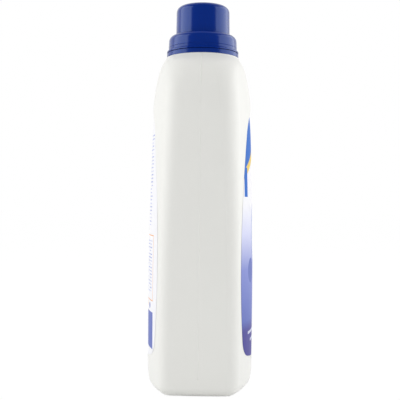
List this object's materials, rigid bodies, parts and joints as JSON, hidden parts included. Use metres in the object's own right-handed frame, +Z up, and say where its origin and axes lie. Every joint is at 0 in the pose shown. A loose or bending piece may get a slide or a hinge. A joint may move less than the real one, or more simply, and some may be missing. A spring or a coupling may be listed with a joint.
{
  "type": "laundry detergent bottle",
  "caption": "Slim white laundry detergent bottle with rounded shoulders, shallow label panels, a pourer in its neck and a blue dosing cap that lifts off.",
  "frame": {"origin": "middle of the base, on the surface that the bottle stands on", "axes": "+Z up through the cap; X along the width of the bottle, Y along its depth; the front label faces -Y"},
  "size_m": [0.1102, 0.078, 0.2822],
  "materials": {
    "bottle_white": "satin",
    "pourer_blue": "gloss",
    "cap_blue": "gloss",
    "front_film": "satin",
    "back_film": "satin"
  },
  "bodies": {
    "bottle_body": {"bottle": "bottle_white", "pour_insert": "pourer_blue", "front_label": "front_film", "back_label": "back_film"},
    "cap_body": {"dosing_cap": "cap_blue"}
  },
  "joints": [
    {"name": "cap_lift", "type": "slide", "parent": "bottle_body", "child": "cap_body", "axis": [0, 0, 1], "range_m": [0, 0.04]}
  ]
}
